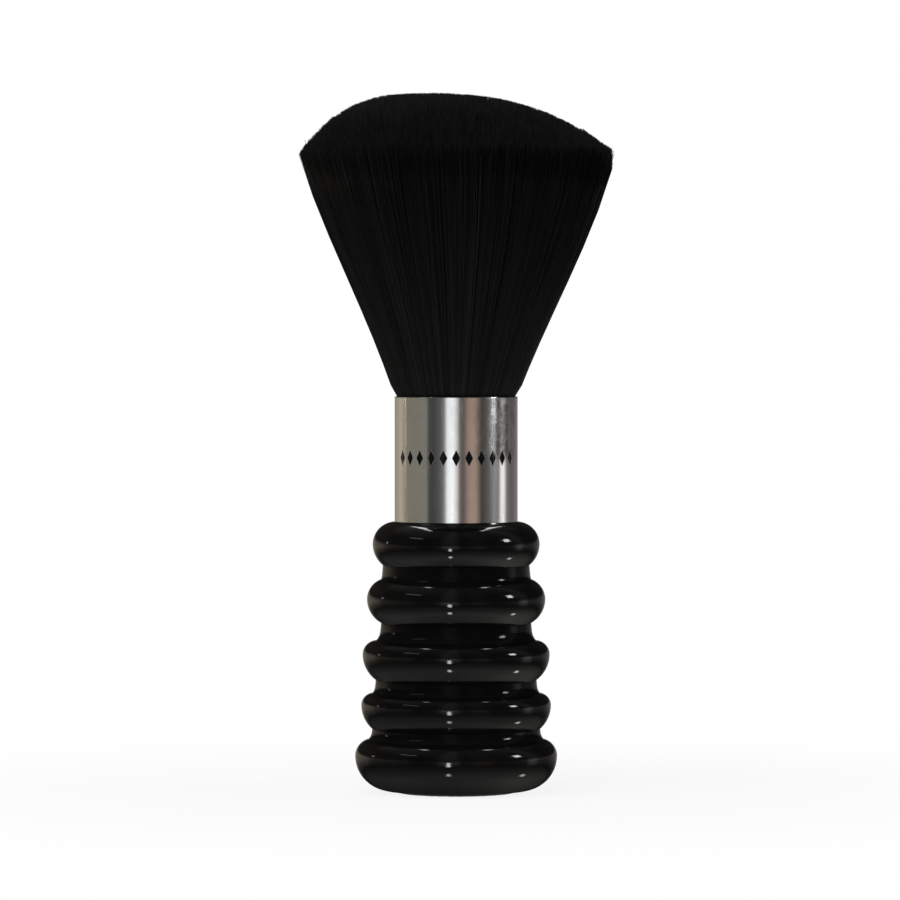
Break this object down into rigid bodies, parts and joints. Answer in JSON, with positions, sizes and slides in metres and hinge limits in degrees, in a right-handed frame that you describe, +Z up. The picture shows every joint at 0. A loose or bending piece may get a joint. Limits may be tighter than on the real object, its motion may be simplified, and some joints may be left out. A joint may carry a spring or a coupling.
{
  "type": "neck duster brush",
  "caption": "Free-standing barber's neck duster: turned, lacquered handle of rounded beads, plain metal ferrule, and a flared, dome-trimmed knot of soft dark bristles that bends.",
  "frame": {"origin": "centre of the face that the brush stands on, under the foot pad", "axes": "+Z up along the handle towards the bristle tips; +X and +Y across it, with the bristles bending in the XZ plane"},
  "size_m": [0.0718, 0.0718, 0.1593],
  "materials": {
    "black_lacquered_wood": "gloss lacquer",
    "felt": "matte",
    "polished_aluminium": "polished, lightly scratched",
    "epoxy": "gloss",
    "fibre_board": "matte",
    "casting_resin": "gloss",
    "plain_wood": "bare",
    "waxed_cord": "waxed",
    "black_filament": "soft, low sheen"
  },
  "bodies": {
    "handle_body": {"handle": "black_lacquered_wood", "foot_pad": "felt", "ferrule": "polished_aluminium", "ferrule_adhesive": "epoxy", "backing_disc": "fibre_board", "resin_plug": "casting_resin", "spreader_plug": "plain_wood", "root_binding": "waxed_cord", "bristle_roots": "black_filament"},
    "bristle_body": {"bristle_tips": "black_filament"}
  },
  "joints": [
    {"name": "bristle_flex", "type": "hinge", "parent": "handle_body", "child": "bristle_body", "pos_m": [0, 0, 0.0902], "axis": [0, 1, 0], "range_deg": [-20, 20], "stiffness_Nm_per_rad": 0.12}
  ]
}
